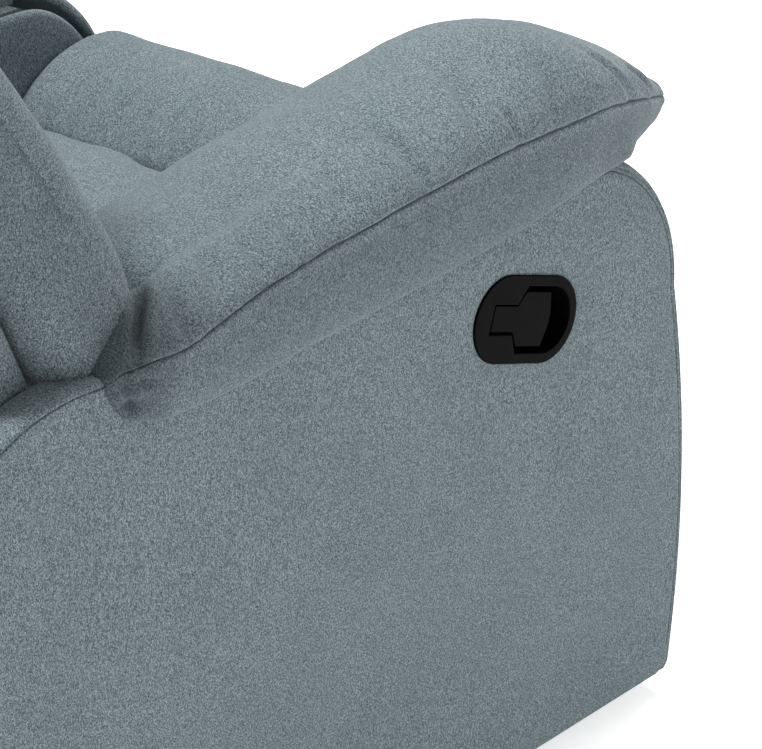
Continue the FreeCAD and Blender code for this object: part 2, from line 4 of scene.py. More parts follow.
import bmesh
import bpy
import numpy as np
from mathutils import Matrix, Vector


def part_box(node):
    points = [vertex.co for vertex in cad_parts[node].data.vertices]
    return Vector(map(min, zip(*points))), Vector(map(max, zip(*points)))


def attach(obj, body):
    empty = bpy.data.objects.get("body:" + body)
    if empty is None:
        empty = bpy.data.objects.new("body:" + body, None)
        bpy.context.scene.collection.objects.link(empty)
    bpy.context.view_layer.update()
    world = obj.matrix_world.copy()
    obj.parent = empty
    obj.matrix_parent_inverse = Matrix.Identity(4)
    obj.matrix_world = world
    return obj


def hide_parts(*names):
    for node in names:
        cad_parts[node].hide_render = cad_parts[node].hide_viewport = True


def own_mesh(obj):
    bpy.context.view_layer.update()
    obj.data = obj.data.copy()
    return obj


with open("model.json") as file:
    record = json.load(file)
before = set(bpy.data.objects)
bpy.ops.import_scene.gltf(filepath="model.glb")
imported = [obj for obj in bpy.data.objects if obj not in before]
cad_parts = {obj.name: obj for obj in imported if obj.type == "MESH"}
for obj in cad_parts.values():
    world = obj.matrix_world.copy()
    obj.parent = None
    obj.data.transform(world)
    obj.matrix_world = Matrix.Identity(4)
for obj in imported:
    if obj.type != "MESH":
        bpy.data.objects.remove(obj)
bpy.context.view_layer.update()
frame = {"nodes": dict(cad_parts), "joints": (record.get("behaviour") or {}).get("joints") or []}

MM = 0.001

# ---------------------------------------------------------------- sizes from the frame
PANEL_FACE = -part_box("side_panel_right")[0][0]          # outer face of the side panels, from the middle
ARM_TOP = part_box("side_panel_right")[1][2]
BOARD_IN = -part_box("outer_arm_board_right")[1][0]       # inner face of the outer arm boards
INNER_FACE = -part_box("arm_pillow_right")[1][0] + 0.004  # inner face of the inner arm boards
HANDLE = [(a + b) / 2 for a, b in zip(*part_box("handle_bezel"))][1:]
HANDLE_TILT = radians(18.0)
LEAN = radians(22.0)                                    # lean of the back frame
PIVOT_Y, PIVOT_Z = next(j["pos_m"] for j in frame["joints"] if j["name"] == "back_recline")[1:]


# ---------------------------------------------------------------- numbers and curves
def through(knots, x):
    """Smooth curve through a few (place, value) pairs, without overshoot."""
    k = np.array(knots, float)
    px, py = k[:, 0], k[:, 1]
    x = np.clip(np.asarray(x, float), px[0], px[-1])
    step = np.diff(px)
    slope = np.diff(py) / step
    m = np.zeros(len(px))
    m[0], m[-1] = slope[0], slope[-1]
    same = slope[:-1] * slope[1:] > 0
    inner = np.zeros(len(px) - 2)
    inner[same] = 2 * slope[:-1][same] * slope[1:][same] / (slope[:-1] + slope[1:])[same]
    m[1:-1] = inner
    i = np.clip(np.searchsorted(px, x) - 1, 0, len(px) - 2)
    t = (x - px[i]) / step[i]
    return ((2 * t**3 - 3 * t**2 + 1) * py[i] + (t**3 - 2 * t**2 + t) * step[i] * m[i]
            + (3 * t**2 - 2 * t**3) * py[i + 1] + (t**3 - t**2) * step[i] * m[i + 1])


def ramp(x, a, b):
    """0 before a, 1 after b, smooth between."""
    t = np.clip((np.asarray(x, float) - a) / (b - a), 0, 1)
    return t * t * (3 - 2 * t)


def swell(p, length, seed):
    """Gentle unevenness between -1 and 1 over a distance, always the same for one seed."""
    rng = np.random.default_rng(seed)
    total = np.zeros(len(p))
    for _ in range(5):
        wave = rng.normal(size=3)
        wave *= 2 * pi / (length * np.linalg.norm(wave)) * rng.uniform(0.7, 1.4)
        total += np.sin(p @ wave + rng.uniform(0, 2 * pi))
    return total / 5


def arc(a, b, c, n):
    """Points of the arc from a over b to c, without the last."""
    a, b, c = (np.array(p, float) for p in (a, b, c))
    (ax, ay), (bx, by), (cx, cy) = a, b, c
    d = 2 * (ax * (by - cy) + bx * (cy - ay) + cx * (ay - by))
    ux = ((a @ a) * (by - cy) + (b @ b) * (cy - ay) + (c @ c) * (ay - by)) / d
    uy = ((a @ a) * (cx - bx) + (b @ b) * (ax - cx) + (c @ c) * (bx - ax)) / d
    o = np.array([ux, uy])
    radius = np.linalg.norm(a - o)
    angles = [np.arctan2(*(p - o)[::-1]) for p in (a, b, c)]
    turn = (angles[2] - angles[0] + pi) % (2 * pi) - pi
    middle = (angles[1] - angles[0] + pi) % (2 * pi) - pi
    if turn * middle < 0 or abs(middle) > abs(turn):
        turn -= np.sign(turn) * 2 * pi
    along = angles[0] + turn * np.arange(n) / n
    return o + radius * np.stack([np.cos(along), np.sin(along)], 1)


def even(points, n, closed=True):
    """n points at equal distances along a polyline."""
    p = np.vstack([points, points[:1]]) if closed else np.asarray(points, float)
    run = np.concatenate([[0], np.cumsum(np.linalg.norm(np.diff(p, axis=0), axis=1))])
    at = np.linspace(0, run[-1], n, endpoint=not closed)
    return np.stack([np.interp(at, run, p[:, i]) for i in range(p.shape[1])], 1)


def arm_outline():
    """Side view (y, z) of an arm box, up the front first: straight foot, bowed front, round rear corner."""
    front, foot, top, rear, corner = -0.459, 0.020, 0.545, 0.397, 0.150
    cy, cz, q = rear - corner, top - corner, corner * cos(pi / 4)
    parts = [
        arc((front + 0.013, foot), (front + 0.0045, foot + 0.004), (front + 0.001, foot + 0.014), 6),
        arc((front + 0.001, foot + 0.014), (front - 0.0065, 0.225), (front + 0.017, 0.405), 40),
        arc((front + 0.017, 0.405), (front + 0.0415, 0.4885), (front + 0.114, top), 24),
        np.array([(front + 0.114, top), (cy, top)]),
        arc((cy, top), (cy + q, cz + q), (rear, cz), 30),
        arc((rear, foot + 0.012), (rear - 0.0035, foot + 0.0035), (rear - 0.012, foot), 6),
        np.array([(rear - 0.012, foot), (rear - 0.060, foot), (front + 0.050, foot)])]
    return np.vstack(parts)


def outward(loop):
    """Unit normals of a closed clockwise or anticlockwise loop, pointing away from its middle."""
    along = np.roll(loop, -1, 0) - np.roll(loop, 1, 0)
    n = np.stack([along[:, 1], -along[:, 0]], 1)
    n /= np.linalg.norm(n, axis=1)[:, None]
    area = np.sum(loop[:, 0] * np.roll(loop[:, 1], -1) - np.roll(loop[:, 0], -1) * loop[:, 1])
    return n if area > 0 else -n


def on_back(x, n, t):
    """From the back's own axes (x, n rearward, t up the back) to the chair's."""
    x, n, t = np.broadcast_arrays(np.asarray(x, float), np.asarray(n, float), np.asarray(t, float))
    y = PIVOT_Y + n * cos(LEAN) + t * sin(LEAN)
    z = PIVOT_Z - n * sin(LEAN) + t * cos(LEAN)
    return np.stack([x, y, z], -1)


# ---------------------------------------------------------------- meshes
def mesh_piece(name, verts, faces):
    mesh = bpy.data.meshes.new(name)
    mesh.from_pydata([tuple(v) for v in verts], [], faces)
    mesh.validate()
    piece = bpy.data.objects.new(name, mesh)
    bpy.context.scene.collection.objects.link(piece)
    work = bmesh.new()
    work.from_mesh(mesh)
    bmesh.ops.recalc_face_normals(work, faces=work.faces)
    work.to_mesh(mesh)
    work.free()
    mesh.shade_smooth()
    return piece


def loft(name, rings, around=False):
    """Skin over rings of equal point counts: capped at both ends, or joined from last to first."""
    rings = np.asarray(rings, float)
    m, n = rings.shape[:2]
    verts = rings.reshape(-1, 3)
    faces = []
    for i in range(m if around else m - 1):
        a, b = i * n, (i + 1) % m * n
        faces += [(a + j, a + (j + 1) % n, b + (j + 1) % n, b + j) for j in range(n)]
    if not around:
        verts = np.vstack([verts, rings[0].mean(0), rings[-1].mean(0)])
        low, high, last = m * n, m * n + 1, (m - 1) * n
        faces += [(low, (j + 1) % n, j) for j in range(n)]
        faces += [(high, last + j, last + (j + 1) % n) for j in range(n)]
    return mesh_piece(name, verts, faces)


def places(piece):
    co = np.empty(len(piece.data.vertices) * 3)
    piece.data.vertices.foreach_get("co", co)
    return co.reshape(-1, 3)


def place(piece, co):
    piece.data.vertices.foreach_set("co", np.ascontiguousarray(co, float).ravel())
    piece.data.update()


def normals(piece):
    n = np.empty(len(piece.data.vertices) * 3)
    piece.data.vertices.foreach_get("normal", n)
    return n.reshape(-1, 3)


def finer(piece):
    """Subdivision surface, applied."""
    mod = piece.modifiers.new("finer", "SUBSURF")
    mod.levels = mod.render_levels = 1
    baked(piece)


def baked(piece):
    """Puts the result of the modifiers into the mesh."""
    graph = bpy.context.evaluated_depsgraph_get()
    mesh = bpy.data.meshes.new_from_object(piece.evaluated_get(graph))
    piece.modifiers.clear()
    old, piece.data = piece.data, mesh
    mesh.name = piece.name
    bpy.data.meshes.remove(old)
    mesh.shade_smooth()


def twin(piece, name):
    """Mirror image of a piece, on the other side of the chair."""
    mesh = piece.data.copy()
    mesh.name = name
    other = bpy.data.objects.new(name, mesh)
    bpy.context.scene.collection.objects.link(other)
    co = places(other) * (-1, 1, 1)
    place(other, co)
    mesh.flip_normals()
    return other


def to_segment(p, a, b):
    """Distance of points from the segment a-b, and how far along it they lie, 0 to 1."""
    a, b = np.array(a, float), np.array(b, float)
    along = np.clip((p - a) @ (b - a) / ((b - a) @ (b - a)), 0, 1)
    return np.linalg.norm(p - a - along[:, None] * (b - a), axis=1), along


def fold(piece, a, b, depth, width, side=0.45, dark=0.0):
    """A crease on the surface from a to b, fading out at both ends, with the cloth raised beside it.

    dark is how much painted shade it adds along the crease, on a piece that carries painted shade.
    """
    a, b = np.array(a, float), np.array(b, float)
    p, n = places(piece), normals(piece)
    facing = n[np.argmin(np.linalg.norm(p - (a + b) / 2, axis=1))]
    reach = to_segment(p, a, b)[0]
    drop = ((p - a) @ facing)[:, None] * facing
    end = b - ((b - a) @ facing) * facing
    gap, along = to_segment(p - drop, a, end)
    near = (gap < 5 * width) & (reach < 0.035) & (n @ facing > 0)
    if not near.any():
        return
    g = gap[near] / width
    shape = -np.exp(-g**2) + side * np.exp(-(g - 1.9) ** 2)
    fade = np.sin(np.clip(along[near], 0.02, 0.98) * pi) ** 0.7
    p[near] += n[near] * (depth * shape * fade)[:, None]
    place(piece, p)
    # painted shade in the crease
    if dark:
        layer = piece.data.attributes["seam"].data
        value = np.empty(len(p), np.float32)
        layer.foreach_get("value", value)
        value[near] = np.maximum(value[near], dark * fade * np.exp(-(g / 1.25) ** 2))
        layer.foreach_set("value", value)


def paint_shade(piece, values):
    """Paints shade into the cloth's colour, 0 to 1 per point: painted shade in seams, folds and on shaded
    parts.
    """
    layer = piece.data.attributes.new("seam", "FLOAT", "POINT")
    layer.data.foreach_set("value", np.clip(values, 0, 1).astype(np.float32))


def finish(piece, body, material, nodes):
    """Gives a padded piece its cloth and its body, and hides the CAD nodes that it stands for."""
    piece.data.materials.clear()
    piece.data.materials.append(material)
    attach(piece, body)
    if nodes:
        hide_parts(*nodes)


# ---------------------------------------------------------------- materials
class Nodes:
    """A short way to write a material's nodes."""

    def __init__(self, name):
        self.material = bpy.data.materials.new(name)
        self.material.use_nodes = True
        self.tree = self.material.node_tree
        self.shader = self.tree.nodes["Principled BSDF"]
        self.place = self.add("ShaderNodeTexCoord").outputs["Object"]

    def add(self, kind, links=(), **settings):
        node = self.tree.nodes.new(kind)
        for key, value in settings.items():
            setattr(node, key, value)
        for socket, source in dict(links).items():
            if isinstance(source, bpy.types.NodeSocket):
                self.tree.links.new(source, node.inputs[socket])
            else:
                node.inputs[socket].default_value = source
        return node

    def noise(self, scale, detail=2.0, rough=0.5, stretch=None):
        where = self.place
        if stretch:
            where = self.add("ShaderNodeMapping", {"Vector": where, "Scale": stretch}).outputs["Vector"]
        return self.add("ShaderNodeTexNoise", {"Vector": where, "Scale": scale, "Detail": detail,
                                               "Roughness": rough}).outputs["Fac"]

    def ramp(self, factor, stops):
        node = self.add("ShaderNodeValToRGB", {"Fac": factor})
        band = node.color_ramp
        while len(band.elements) < len(stops):
            band.elements.new(0.5)
        for element, (at, colour) in zip(band.elements, stops):
            element.position = at
            element.color = (*colour, 1) if len(colour) == 3 else colour
        return node.outputs["Color"]

    def math(self, how, a, b=0.0):
        return self.add("ShaderNodeMath", {0: a, 1: b}, operation=how).outputs["Value"]

    def mix(self, how, factor, a, b):
        node = self.add("ShaderNodeMix", data_type="RGBA", blend_type=how)
        for socket, source in ((0, factor), (6, a), (7, b)):
            if isinstance(source, bpy.types.NodeSocket):
                self.tree.links.new(source, node.inputs[socket])
            else:
                node.inputs[socket].default_value = source
        return node.outputs[2]

    def bump(self, height, strength, distance):
        links = {"Height": height, "Strength": strength, "Distance": distance}
        return self.add("ShaderNodeBump", links).outputs["Normal"]

    def set(self, **sockets):
        names = {"colour": "Base Color", "rough": "Roughness", "metal": "Metallic", "normal": "Normal",
                 "specular": "Specular IOR Level", "sheen": "Sheen Weight",
                 "sheen_rough": "Sheen Roughness", "sheen_tint": "Sheen Tint"}
        for key, source in sockets.items():
            socket = self.shader.inputs[names[key]]
            if isinstance(source, bpy.types.NodeSocket):
                self.tree.links.new(source, socket)
            else:
                socket.default_value = source
        return self.material


def grey(value):
    return (value, value, value)


def fabric(name, across):
    """Heathered linen-look weave: threads thin along the axes in across, and long along the others."""
    n = Nodes(name)
    thin, long = 1.0, 0.42
    warp = tuple(thin if axis in across else long for axis in "xyz")
    weft = tuple(long if axis in across else thin for axis in "xyz")
    threads = n.noise(1300.0, 1.0, 0.5, warp)
    cross = n.noise(1300.0, 1.0, 0.5, weft)
    specks = n.noise(1100.0, 1.0, 0.5)
    grain = n.noise(420.0, 2.0, 0.6, warp)
    both = n.math("ADD", n.math("MULTIPLY", threads, 0.36), n.math("MULTIPLY", cross, 0.22))
    uneven = n.math("ADD", n.math("MULTIPLY", specks, 0.32), n.math("MULTIPLY", grain, 0.10))
    both = n.math("ADD", both, uneven)
    dark, middle, light = (0.051, 0.068, 0.074), (0.139, 0.179, 0.192), (0.285, 0.344, 0.366)
    colour = n.ramp(both, [(0.41, dark), (0.5, middle), (0.59, light)])
    patches = n.noise(9.0, 3.0, 0.6)
    drift = n.ramp(patches, [(0.3, (0.93, 0.945, 0.95)), (0.7, (1.05, 1.045, 1.04))])
    colour = n.mix("MULTIPLY", 1.0, colour, drift)
    # the "seam" attribute is painted shade: it darkens the cloth in seams and folds, under the pillow's
    # overhang, behind the wing and on the wing's flank
    seam = n.add("ShaderNodeAttribute", attribute_name="seam").outputs["Fac"]
    colour = n.mix("MIX", n.math("MULTIPLY", seam, 0.85), colour, (0.018, 0.025, 0.028, 1))
    fine = n.bump(both, 0.45, 0.0007)
    return n.set(colour=colour, normal=fine, rough=0.92, specular=0.15, sheen=0.20, sheen_rough=0.45,
                 sheen_tint=(0.88, 0.94, 0.96, 1))


def dust_cloth():
    """Black non-woven lining."""
    n = Nodes("black_lining")
    fibres = n.noise(700.0, 4.0, 0.8)
    colour = n.ramp(fibres, [(0.3, grey(0.012)), (0.7, grey(0.035))])
    return n.set(colour=colour, normal=n.bump(fibres, 0.5, 0.0005), rough=0.95, specular=0.1)


def plastic(name, tone, grain=1400.0, rough=0.33):
    n = Nodes(name)
    texture = n.noise(grain, 2.0, 0.6)
    colour = n.ramp(n.noise(60.0, 3.0), [(0.35, grey(tone * 0.85)), (0.65, grey(tone * 1.2))])
    gloss = n.math("ADD", n.math("MULTIPLY", texture, 0.14), rough - 0.07)
    return n.set(colour=colour, rough=gloss, normal=n.bump(texture, 0.12, 0.0002), specular=0.018)


def wood(name, pale, deep, grain, rings):
    """Sawn timber with long grain along one axis."""
    n = Nodes(name)
    streaks = n.noise(140.0, 5.0, 0.65, grain)
    bands = n.noise(rings, 3.0, 0.5, grain)
    colour = n.ramp(n.math("ADD", n.math("MULTIPLY", streaks, 0.6), n.math("MULTIPLY", bands, 0.4)),
                    [(0.32, deep), (0.6, pale)])
    return n.set(colour=colour, rough=0.6, normal=n.bump(streaks, 0.3, 0.0004), specular=0.3)


def steel(name, tone, rough, metal=1.0):
    n = Nodes(name)
    scuff = 0.25
    brushed = n.noise(900.0, 3.0, 0.6, (1.0, 0.08, 0.08))
    marks = n.noise(35.0, 5.0, 0.7)
    colour = n.ramp(marks, [(0.35, grey(tone * (1 - scuff))), (0.7, grey(tone * (1 + scuff)))])
    gloss = n.math("ADD", n.math("MULTIPLY", marks, 0.3), rough - 0.12)
    return n.set(colour=colour, rough=gloss, metal=metal, normal=n.bump(brushed, 0.15, 0.0002))


def webbing():
    n = Nodes("black_elastic_webbing")
    weft = n.noise(500.0, 2.0, 0.6, (1.0, 0.1, 1.0))
    colour = n.ramp(weft, [(0.3, (0.016, 0.017, 0.018)), (0.7, (0.05, 0.05, 0.052))])
    return n.set(colour=colour, rough=0.9, normal=n.bump(weft, 0.6, 0.0008), specular=0.1)


SIDE_CLOTH = fabric("heather_fabric_side", "y")
FRONT_CLOTH = fabric("heather_fabric_front", "x")
LINING = dust_cloth()


def dress_frame():
    """Materials of the CAD nodes, by the slot that each came with; some boards are covered or lined."""
    looks = {
        "plywood": wood("birch_plywood", (0.55, 0.41, 0.26), (0.36, 0.24, 0.13), (0.12, 1.0, 0.12), 40.0),
        "timber": wood("pine_timber", (0.58, 0.42, 0.24), (0.33, 0.20, 0.10), (0.1, 1.0, 1.0), 30.0),
        "mechanism_steel": steel("black_mechanism_steel", 0.035, 0.42, 0.6),
        "bright_steel": steel("zinc_plated_steel", 0.55, 0.32),
        "black_plastic": plastic("satin_black_plastic", 0.0026, rough=0.27),
        "glide_plastic": plastic("moulded_glide_plastic", 0.02, 900.0, 0.5),
        "webbing": webbing(),
        "upholstery_fabric": FRONT_CLOTH}
    covered = dict.fromkeys(("wing_boards", "back_posts", "back_cross_rails", "inner_arm_boards",
                             "arm_top_boards"), FRONT_CLOTH)
    covered.update(dict.fromkeys(("outer_arm_board_right", "outer_arm_board_left", "arm_front_boards",
                                  "legrest_board", "front_rail"), LINING))
    for name, node in frame["nodes"].items():
        for at in node.material_slots:
            at.material = covered.get(name) or looks[at.material.name.split(".")[0]]


# ---------------------------------------------------------------- arm pillows
def groove(gap, depth=0.0018, width=0.0009):
    """Height of the cloth beside a sewn seam, at a distance from it."""
    return -depth * np.exp(-(gap / width) ** 2) + 0.28 * depth * np.exp(-((gap - 0.0052) / 0.003) ** 2)


def beside_seams(length, count):
    """Places along a panel between two seams, close together at both."""
    close = np.array([0.0, 0.0008, 0.0018, 0.0034, 0.006]) * min(1.0, length / 0.05)
    middle = np.linspace(close[-1], length - close[-1], count)[1:-1]
    return np.concatenate([close, middle, length - close[:0:-1]])


def along_line(line, places_on_it):
    run = np.concatenate([[0], np.cumsum(np.linalg.norm(np.diff(line, axis=0), axis=1))])
    return np.stack([np.interp(places_on_it, run, line[:, i]) for i in range(2)], 1)


# Lines of the right-hand pillow as (y, value): both edges and the crest in plan, then heights.
PILLOW_OUTER = [(-0.4735, -0.401), (-0.468, -0.408), (-0.452, -0.421), (-0.43, -0.432), (-0.40, -0.444),
                (-0.35, -0.461), (-0.29, -0.471), (-0.22, -0.4735), (0.12, -0.474), (0.185, -0.462)]
PILLOW_INNER = [(-0.4735, -0.389), (-0.467, -0.364), (-0.445, -0.328), (-0.40, -0.290), (-0.34, -0.262),
                (-0.26, -0.247), (0.22, -0.2445)]
PILLOW_CREST_X = [(-0.4735, -0.395), (-0.44, -0.391), (-0.35, -0.384), (-0.2, -0.382), (0.22, -0.388)]
PILLOW_CREST = [(-0.4735, 0.5625), (-0.468, 0.570), (-0.44, 0.586), (-0.385, 0.624), (-0.325, 0.652),
                (-0.27, 0.6645), (-0.17, 0.6485), (-0.06, 0.6295), (0.016, 0.611), (0.05, 0.602),
                (0.14, 0.586), (0.163, 0.574), (0.178, 0.560)]
PILLOW_SEAM = [(-0.4735, 0.5585), (-0.465, 0.561), (-0.45, 0.567), (-0.40, 0.584), (-0.35, 0.597),
               (-0.30, 0.6055), (-0.20, 0.6055), (-0.10, 0.598), (0.0, 0.587), (0.05, 0.578),
               (0.10, 0.564), (0.128, 0.5565), (0.150, 0.556), (0.165, 0.555), (0.178, 0.549)]
PILLOW_INNER_SEAM = [(-0.4735, 0.5585), (-0.46, 0.558), (-0.40, 0.570), (-0.3, 0.578), (-0.1, 0.570),
                     (0.05, 0.556), (0.2, 0.552)]
PILLOW_UNDER = [(-0.4735, 0.5545), (-0.465, 0.5505), (-0.44, 0.5460), (-0.40, 0.5445), (-0.34, 0.5462),
                (0.22, 0.5462)]
PILLOW_LOBE = [(-0.4735, 0.5545), (-0.465, 0.5505), (-0.44, 0.5455), (-0.38, 0.5430), (-0.34, 0.541),
               (-0.265, 0.531), (-0.205, 0.5235), (-0.095, 0.5145), (0.0, 0.508), (0.09, 0.500),
               (0.165, 0.503), (0.22, 0.513)]
PILLOW_SHOULDER = [(-0.4735, 1.85), (-0.30, 1.85), (-0.05, 1.6), (0.22, 1.5)]


def pillow_section(y):
    """Closed (x, z) section of the right-hand pillow at y: first the crown, from outer to inner seam."""
    lines = (PILLOW_OUTER, PILLOW_INNER, PILLOW_CREST_X, PILLOW_CREST, PILLOW_SEAM, PILLOW_INNER_SEAM,
             PILLOW_UNDER, PILLOW_LOBE)
    outer, inner, crest_x, crest, seam, inner_seam, under, lobe = (
        float(through(line, y)) for line in lines)
    fat = min(1.0, (crest - under) / 0.05)
    turn = np.linspace(0, pi / 2, 30)

    def quarter(x0, x1, z0, z1, power):
        """From (x0, z0), rising steeply, to (x1, z1), level."""
        return np.stack([x1 + (x0 - x1) * np.cos(turn) ** (2 / power),
                         z0 + (z1 - z0) * np.sin(turn) ** (2 / power)], 1)
    outer_crown = quarter(outer, crest_x, seam, crest, 2.15)
    inner_crown = quarter(inner, crest_x, inner_seam, crest, float(through(PILLOW_SHOULDER, y)))[::-1]
    crown = np.vstack([outer_crown[:-1], inner_crown])
    face = -PANEL_FACE - 0.0035
    hangs = lobe < under - 0.0008 and outer < face - 0.004
    wide = float(ramp(-outer, 0.447, 0.4600))
    low_x = (1 - wide) * (outer + 0.013 * fat) + wide * min(outer + 0.015, face - 0.002)
    inner_side = quarter(inner, inner - 0.010 * fat, inner_seam, under, 2.2)
    outer_side = quarter(outer, low_x, seam, lobe, 2.2)[::-1]
    last = face + 0.012 if hangs else outer + 0.3 * (inner - outer)
    rest = [(inner - 0.03 * fat, under), ((inner + last) / 2, under), (last, under)]
    if hangs:
        rest += [(face + 0.0012, under), (face - 0.0004, under - 0.0015), (face - 0.0006, lobe + 0.003)]
    box = np.vstack([inner_side, rest, outer_side])
    crown_run = np.linalg.norm(np.diff(crown, axis=0), axis=1).sum()
    box_run = np.linalg.norm(np.diff(box, axis=0), axis=1).sum()
    crown_at, box_at = beside_seams(crown_run, 52), beside_seams(box_run, 52)
    ring = np.vstack([along_line(crown, crown_at)[:-1], along_line(box, box_at)[:-1]])
    gap = np.concatenate([np.minimum(crown_at, crown_run - crown_at)[:-1],
                          np.minimum(box_at, box_run - box_at)[:-1]])
    return ring, gap


PILLOW_TIP, PILLOW_END = -0.4735, 0.143
TAIL = 0.076                      # the pillow is that much longer outside the wing
REAR_REACH = 0.034                # its lines run that much further back than its body


def section_y(station):
    """Where along the pillow's lines the section of a station is read."""
    return station + REAR_REACH * ramp(station, -0.10, PILLOW_END)


def pillow_y(station, x):
    """The outer strip of the pillow reaches further back, past the wing."""
    outside = ramp(-x, 0.400, 0.426)
    return station + TAIL * ramp(station, -0.10, PILLOW_END) * outside


def pillow_mesh():
    nose = PILLOW_TIP + 0.05 * np.linspace(0, 1, 14) ** 1.7
    body = np.linspace(PILLOW_TIP + 0.05, PILLOW_END - 0.042, 120)[1:]
    tail = PILLOW_END - 0.042 * (1 - np.sin(np.linspace(0, pi / 2, 18)[1:]))
    rings, gaps = [], []
    for station in np.concatenate([nose, body, tail]):
        ring, gap = pillow_section(section_y(station))
        across = np.roll(ring, -1, 0) - np.roll(ring, 1, 0)
        out = np.stack([across[:, 1], -across[:, 0]], 1)
        out /= np.linalg.norm(out, axis=1)[:, None] + 1e-9
        if np.sum(out[:, 1] * (ring[:, 1] - ring[:, 1].mean())) < 0:
            out = -out
        ring = ring + out * groove(gap)[:, None]
        into = np.clip((station - PILLOW_END + 0.042) / 0.042, 0, 1)
        if into > 0:
            shrink = np.sqrt(1 - into**2 * 0.94)
            middle = np.array([ring[:, 0].mean(), 0.541])
            ring = middle + (ring - middle) * (1 - 0.16 * (1 - shrink), shrink)
        x = ring[:, 0]
        rings.append(np.stack([x, pillow_y(station, x), ring[:, 1]], 1))
        gaps.append(gap)
    return rings, np.concatenate(gaps)


def on_pillow(y, up):
    """Point of the pillow's outer side at y; up is 0 at the seam, 1 at the crest, negative below."""
    station = y
    for _ in range(4):
        station = y - TAIL * ramp(station, -0.10, PILLOW_END)
    ring = pillow_section(section_y(station))[0]
    if up >= 0:
        crown = ring[:60]
        top = int(np.argmax(crown[:, 1]))
        x, z = crown[int(round(up * top))]
    else:
        x, z = ring[int(round(up * 16))]
    return (x, float(pillow_y(station, np.array([x]))[0]), z)


def arm_pillows():
    rings, gaps = pillow_mesh()
    piece = loft("arm_pillow_cover_right", rings)
    p = places(piece)
    n = normals(piece)
    free = ramp(p[:, 2], 0.548, 0.560)
    lift = 0.0014 * swell(p, 0.11, 3) + 0.0007 * swell(p, 0.04, 4)
    place(piece, p + n * (lift * free)[:, None])
    shade = np.zeros(len(p))
    ring = np.arange(len(gaps)) % len(rings[0])
    far, out = p[:len(gaps), 1], -p[:len(gaps), 0]
    # painted shade on the boxing below the outer seam, under the pillow's overhang
    under = (ring > np.argmax(gaps[:80]) * 2 + 1) * ramp(gaps, 0.001, 0.012)
    under = 0.29 * under * (1 - ramp(far, 0.15, 0.2))
    # painted shadow of the back and the wing: darker towards the rear, darkest beside the wing
    behind = 0.20 * ramp(far, -0.10, 0.10) + 0.42 * ramp(far, 0.150, 0.205) * ramp(out, 0.37, 0.42)
    # painted shade in the seam lines
    sewn = np.exp(-(gaps / 0.0009) ** 2)
    shade[:len(gaps)] = np.maximum(sewn, np.maximum(under, behind))
    paint_shade(piece, shade)
    finer(piece)
    # (y and height of the upper end, y and height of the lower end, depth, width)
    soft = [(0.096, 0.70, 0.124, -0.02, 4.4, 6.5), (0.066, 0.50, 0.079, -0.04, 3.6, 4.5),
            (0.032, 0.46, 0.047, -0.04, 3.4, 4.5), (-0.098, 0.78, -0.087, -0.03, 4.6, 7.0),
            (-0.198, 0.90, -0.154, -0.03, 5.4, 7.0), (-0.193, 0.42, -0.199, -0.03, 3.0, 4.5),
            (-0.316, 0.60, -0.360, 0.14, 3.0, 5.5), (-0.376, 0.44, -0.416, 0.0, 3.0, 4.5),
            (-0.030, 0.76, -0.008, 0.02, 2.6, 7.5), (-0.262, 0.66, -0.240, 0.02, 2.6, 7.5)]
    # the same, gathered under the wing, with how much painted shade darkens each crease
    deep = [(0.164, 0.72, 0.199, -0.34, 5.0, 4.3, 0.95), (0.186, 0.80, 0.2125, -0.20, 4.0, 4.0, 0.9),
            (0.214, -0.05, 0.204, -0.55, 3.4, 4.0, 0.8), (0.139, 0.60, 0.163, 0.02, 3.2, 6.0, 0.35),
            (0.202, -0.22, 0.186, -0.34, 2.0, 3.5, 0.5), (0.217, -0.45, 0.190, -1.0, 3.0, 5.5, 0.8)]
    for y0, up0, y1, up1, depth, width, dark in [(*crease, 0.14) for crease in soft] + deep:
        fold(piece, on_pillow(y0, up0), on_pillow(y1, up1), depth * MM, width * MM, dark=dark)
    tip = on_pillow(-0.462, 0.02)
    fold(piece, on_pillow(-0.440, 0.45), tip, 0.0026, 0.004)
    fold(piece, on_pillow(-0.448, -0.5), tip, 0.0020, 0.004)
    other = twin(piece, "arm_pillow_cover_left")
    finish(piece, "base", SIDE_CLOTH, ["arm_pillow_right"])
    finish(other, "base", SIDE_CLOTH, ["arm_pillow_left"])


# ---------------------------------------------------------------- arm sides
def stadium_ring(directions, length, height):
    """Points of a slot-shaped outline round the handle's middle, in the given (y, z) directions."""
    tilt = np.array([-cos(HANDLE_TILT), -sin(HANDLE_TILT)])
    c = directions @ tilt
    s = np.sqrt(np.clip(1 - c**2, 0, 1))
    r, h = height / 2, (length - height) / 2
    flat = r / np.maximum(s, 1e-6)
    round_end = h * np.abs(c) + np.sqrt(np.maximum(r**2 - (h * s) ** 2, 0))
    reach = np.where(flat * np.abs(c) <= h, flat, round_end)
    return np.array(HANDLE) + directions * reach[:, None]


